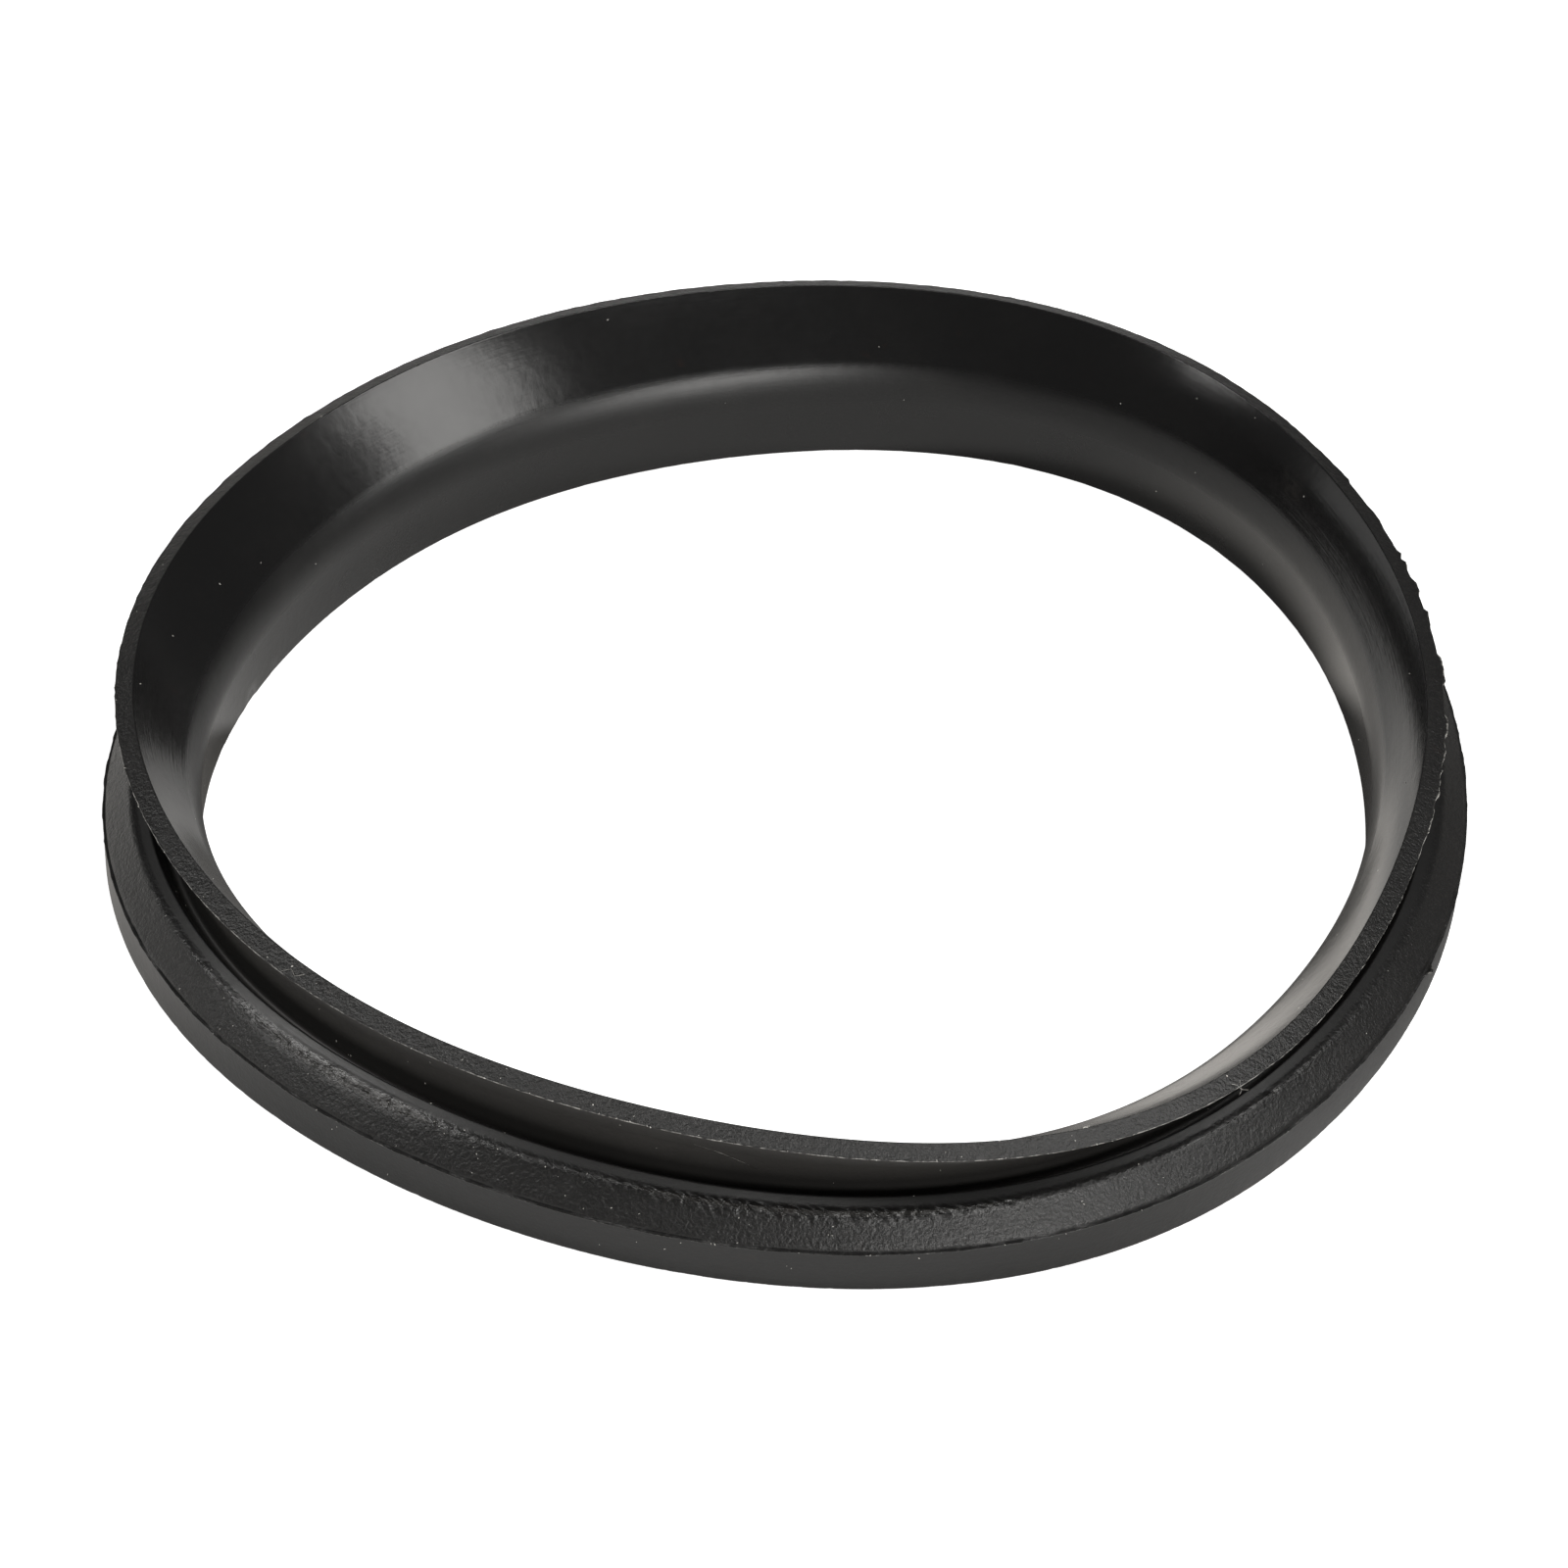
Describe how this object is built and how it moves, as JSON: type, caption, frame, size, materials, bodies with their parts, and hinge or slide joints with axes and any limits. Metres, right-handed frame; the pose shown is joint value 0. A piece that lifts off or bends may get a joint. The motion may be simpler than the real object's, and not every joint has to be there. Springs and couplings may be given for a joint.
{
  "type": "sealing ring",
  "caption": "One-piece moulded rubber sealing ring with a plain bore, a flat back face, a V groove and a thin conical lip that seals against a face.",
  "frame": {"origin": "centre of the flat back face, on the axis of the bore", "axes": "+Z along the axis of the bore, from the back face towards the lip; X and Y are alike, because the ring is round"},
  "size_m": [0.1706, 0.1706, 0.0212],
  "materials": {
    "black_rubber": "satin moulded rubber, matt and fine grained on the chamfer, smooth on the inner cone"
  },
  "bodies": {
    "root": {"sealing_ring": "black_rubber"}
  },
  "joints": []
}
